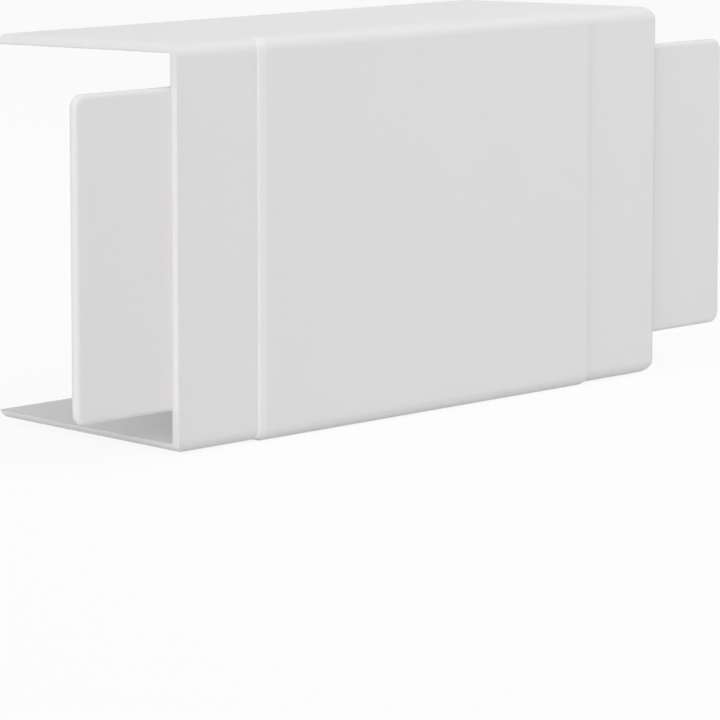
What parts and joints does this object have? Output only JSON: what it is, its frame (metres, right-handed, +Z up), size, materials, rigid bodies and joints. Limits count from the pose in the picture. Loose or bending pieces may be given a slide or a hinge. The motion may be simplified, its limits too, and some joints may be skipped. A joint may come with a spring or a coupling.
{
  "type": "trunking tee fitting",
  "caption": "Moulded hood that covers a tee in wall trunking: a raised block with a side opening for the branch, and at each end a collar and a flat tongue.",
  "frame": {"origin": "middle of the overall box, on its underside", "axes": "+X along the straight run, +Y into the wall, +Z up, away from the branch"},
  "size_m": [0.2284, 0.0636, 0.0954],
  "materials": {
    "shell": "satin white moulded plastic"
  },
  "bodies": {
    "root": {"tee_hood": "shell"}
  },
  "joints": []
}
